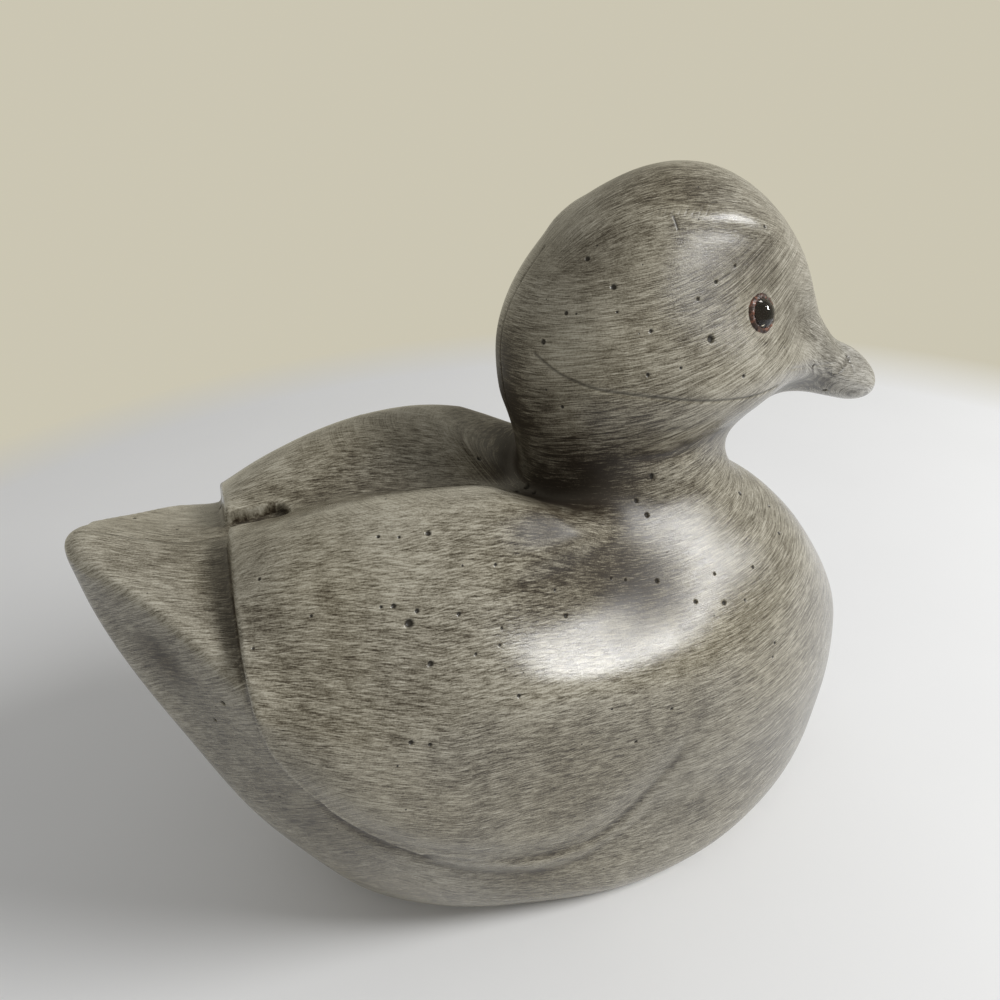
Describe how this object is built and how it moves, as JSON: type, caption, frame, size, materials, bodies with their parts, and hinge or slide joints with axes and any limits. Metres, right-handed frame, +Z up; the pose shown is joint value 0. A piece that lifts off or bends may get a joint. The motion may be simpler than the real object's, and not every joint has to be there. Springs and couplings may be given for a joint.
{
  "type": "resin duck figurine",
  "caption": "Standing ornament of a swimming duck in cast resin, with folded wings, a raised pointed tail, a short bill and domed glass eyes, on a flat felted base.",
  "frame": {"origin": "on the standing surface, under the middle of the length and on the duck's own centre plane", "axes": "+X towards the bill, +Y towards the duck's left side, +Z up"},
  "size_m": [0.2486, 0.1324, 0.209],
  "materials": {
    "resin": "grey-brown brushed wash over filled resin, satin",
    "dowel": "bare wood",
    "felt": "dark felt",
    "eye_glass": "clear polished dome",
    "eye_iris": "dark brown enamel",
    "eye_pupil": "black enamel",
    "eye_putty": "mottled red-brown putty, rough"
  },
  "bodies": {
    "root": {"body": "resin", "head": "resin", "neck_dowel": "dowel", "base_pad": "felt", "eye_glass_right": "eye_glass", "eye_glass_left": "eye_glass", "eye_iris_right": "eye_iris", "eye_iris_left": "eye_iris", "eye_pupil_right": "eye_pupil", "eye_pupil_left": "eye_pupil", "eye_putty_right": "eye_putty", "eye_putty_left": "eye_putty"}
  },
  "joints": []
}
